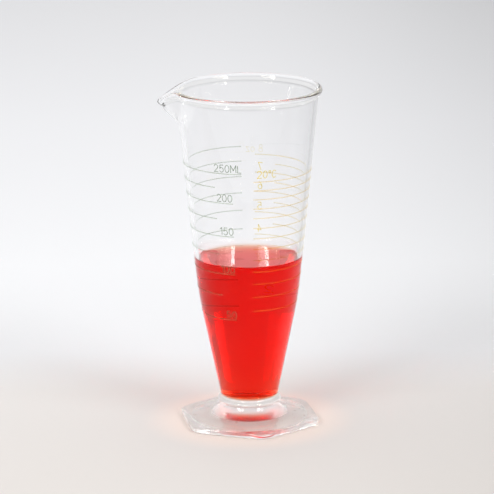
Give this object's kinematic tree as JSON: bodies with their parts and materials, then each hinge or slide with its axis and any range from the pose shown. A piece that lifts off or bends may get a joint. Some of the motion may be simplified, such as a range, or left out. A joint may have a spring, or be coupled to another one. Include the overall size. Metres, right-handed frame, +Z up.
{
  "type": "conical glass graduate",
  "caption": "Conical glass graduate on a hexagonal foot, with a drawn pouring lip, enamel millilitre and ounce scales round the wall, part filled with red liquid.",
  "frame": {"origin": "on the axis of the bowl, at the underside of the foot", "axes": "+Z up along the axis; the pouring lip points along -X, the gap between the two scales faces -Y at the front and +Y at the back"},
  "size_m": [0.0878, 0.0798, 0.1833],
  "materials": {
    "glass": "clear, fire polished",
    "liquid": "clear red liquid",
    "enamel_green": "fired enamel",
    "enamel_yellow": "fired enamel"
  },
  "bodies": {
    "root": {"bowl": "glass", "foot": "glass", "liquid": "liquid", "ml_line_50": "enamel_green", "ml_line_75": "enamel_green", "ml_line_100": "enamel_green", "ml_line_125": "enamel_green", "ml_line_150": "enamel_green", "ml_line_175": "enamel_green", "ml_line_200": "enamel_green", "ml_line_225": "enamel_green", "ml_line_250": "enamel_green", "oz_line_2_0": "enamel_yellow", "oz_line_2_5": "enamel_yellow", "oz_line_3_0": "enamel_yellow", "oz_line_3_5": "enamel_yellow", "oz_line_4_0": "enamel_yellow", "oz_line_4_5": "enamel_yellow", "oz_line_5_0": "enamel_yellow", "oz_line_5_5": "enamel_yellow", "oz_line_6_0": "enamel_yellow", "oz_line_6_5": "enamel_yellow", "oz_line_7_0": "enamel_yellow", "oz_line_7_5": "enamel_yellow", "oz_line_8_0": "enamel_yellow"}
  },
  "joints": []
}
